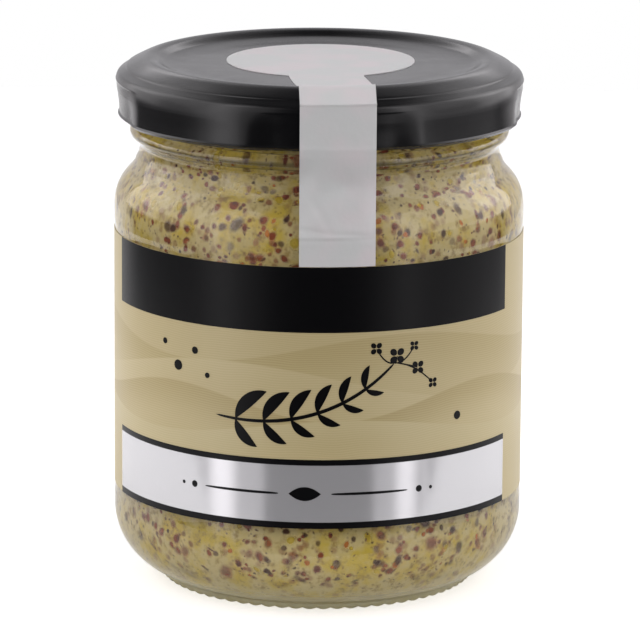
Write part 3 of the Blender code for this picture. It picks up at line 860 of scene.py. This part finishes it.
glow = add_node(tree, "ShaderNodeMapRange", {"Value": lit, "To Min": SHADED_GLOW, "To Max": TABLE_GLOW})
tree.links.new(glow.outputs["Result"], shader.inputs["Emission Strength"])
table.data.materials.append(pale)

# Each lamp: its azimuth, elevation and distance, its width and height, its radiance, how far its edges are
# feathered, and where it shows: in all light, in reflections only ("shine") or in all but those ("fill").
LAMPS = {
    "left": (-50, 12, 0.80, 0.66, 1.15, 0.64, 0.0, "all"),
    "left_core": (-54, 12, 0.78, 0.20, 1.12, 1.65, 0.25, "all"),
    "left_low": (-92, -10, 0.80, 0.62, 0.42, 0.08, 0.0, "all"),
    "left_high": (-97, 32, 0.80, 1.00, 0.80, 1.72, 0.30, "all"),
    "left_far": (-165, 29, 0.80, 0.16, 0.14, 1.60, 0.0, "shine"),
    "left_back": (-156, 42, 0.80, 0.24, 0.60, 0.40, 0.0, "shine"),
    "left_shoulder": (-118, 25, 0.80, 0.40, 0.50, 1.80, 0.40, "shine"),
    "right": (47, 12, 0.80, 0.50, 1.15, 0.56, 0.0, "all"),
    "right_core": (50, 12, 0.78, 0.16, 1.12, 1.45, 0.25, "all"),
    "right_low": (88, -10, 0.80, 0.80, 0.42, 0.45, 0.0, "all"),
    "right_high": (94, 32, 0.80, 1.10, 0.80, 1.68, 0.30, "all"),
    "right_far": (165, 29, 0.80, 0.16, 0.14, 1.60, 0.0, "shine"),
    "right_back": (156, 42, 0.80, 0.24, 0.60, 0.40, 0.0, "shine"),
    "right_shoulder": (118, 25, 0.80, 0.40, 0.50, 2.80, 0.40, "shine"),
    "top": (0, 88, 0.90, 0.80, 0.80, 0.06, 0.0, "all"),
    "front": (0, 34, 0.90, 0.90, 0.50, 1.68, 0.0, "fill"),
}
LAMP_COLOUR, LAMP_AIM_Z, LAMP_STEP = (1.0, 0.97, 0.99), 0.045, 0.01


def soft_box(name, azimuth, elevation, distance, width, height, radiance, feather, shows_in):
    """A rectangular lamp that faces the jar's middle, made of two where its edges are feathered.

    One of the two is larger by the feather and the other smaller by it, a little before the first. A lamp's
    power is its radiance times its area times pi.
    """
    aside, tipped = math.radians(azimuth), math.radians(90 - elevation)
    turn = Matrix.Rotation(aside, 4, "Z") @ Matrix.Rotation(tipped, 4, "X")
    sizes = (1 + feather, 1 - feather) if feather else (1,)
    each = radiance / sum(size**2 for size in sizes)
    for order, size in enumerate(sizes):
        lamp = bpy.data.lights.new(f"soft_box_{name}_{order}", "AREA")
        lamp.shape = "RECTANGLE"
        lamp.size, lamp.size_y = width * size, height * size
        lamp.color = LAMP_COLOUR
        lamp.energy = each * lamp.size * lamp.size_y * math.pi
        box = bpy.data.objects.new(lamp.name, lamp)
        bpy.context.scene.collection.objects.link(box)
        place = Matrix.Translation((0, 0, distance - LAMP_STEP * order))
        box.matrix_world = Matrix.Translation((0, 0, LAMP_AIM_Z)) @ turn @ place
        box.visible_diffuse = shows_in != "shine"
        box.visible_glossy = shows_in != "fill"


for name, values in LAMPS.items():
    soft_box(name, *values)

# The room is bright behind, up to a height, with the glow in two upright stripes beside the jar. Each pair is
# a ramp on one number of the unit direction: where it starts from 0, and where it reaches 1.
BEHIND, BELOW_TOP = (0.54, 0.76), (0.90, 0.45)
STRIPE_IN, STRIPE_OUT = (0.36, 0.60), (0.88, 0.66)
ROOM_DARK, ROOM_BRIGHT, STRIPE_GLOW = (0.04, 0.04, 0.042), (0.80, 0.785, 0.815), (1.0, 0.96, 0.98)
world = bpy.data.worlds.new("studio")
bpy.context.scene.world = world
world.use_nodes = True
tree = world.node_tree
direction = add_node(tree, "ShaderNodeTexCoord").outputs["Generated"]
behind = ramped(tree, axis_of(tree, direction, "Y"), *BEHIND)
bright = calculated(tree, "MULTIPLY", behind, ramped(tree, axis_of(tree, direction, "Z"), *BELOW_TOP))
aside = calculated(tree, "ABSOLUTE", axis_of(tree, direction, "X"))
stripe = calculated(tree, "MULTIPLY", ramped(tree, aside, *STRIPE_IN), ramped(tree, aside, *STRIPE_OUT))
stripe = calculated(tree, "MULTIPLY", stripe, bright)
room = mixed_colour(tree, stripe, mixed_colour(tree, bright, ROOM_DARK, ROOM_BRIGHT), STRIPE_GLOW)
seen = add_node(tree, "ShaderNodeLightPath").outputs["Is Camera Ray"]
tree.links.new(mixed_colour(tree, seen, room, (1.0, 1.0, 1.0)), tree.nodes["Background"].inputs["Color"])
bpy.context.scene.view_settings.view_transform = "Standard"
